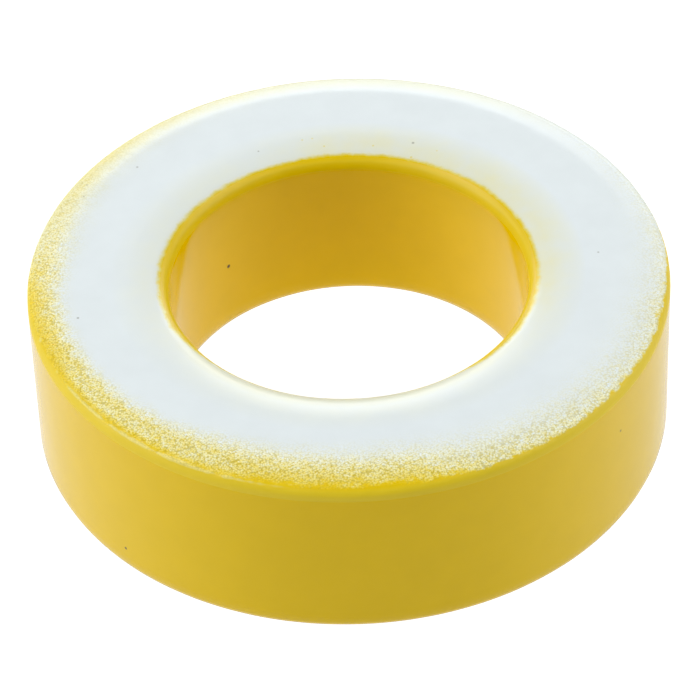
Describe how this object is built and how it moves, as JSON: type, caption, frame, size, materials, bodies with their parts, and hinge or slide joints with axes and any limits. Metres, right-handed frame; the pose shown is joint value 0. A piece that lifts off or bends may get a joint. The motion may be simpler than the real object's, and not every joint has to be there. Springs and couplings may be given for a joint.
{
  "type": "powdered-iron toroid core",
  "caption": "Coated iron-powder ring core with bevelled, rounded edges, wound through its bore to make a choke or filter inductor.",
  "frame": {"origin": "centre of the ring's yellow underside, on the bore axis", "axes": "+Z along the bore axis, towards the face that is sprayed white"},
  "size_m": [0.0384, 0.0384, 0.0111],
  "materials": {
    "coating": "glossy yellow epoxy coating, one ring face sprayed white"
  },
  "bodies": {
    "root": {"toroid_core": "coating"}
  },
  "joints": []
}
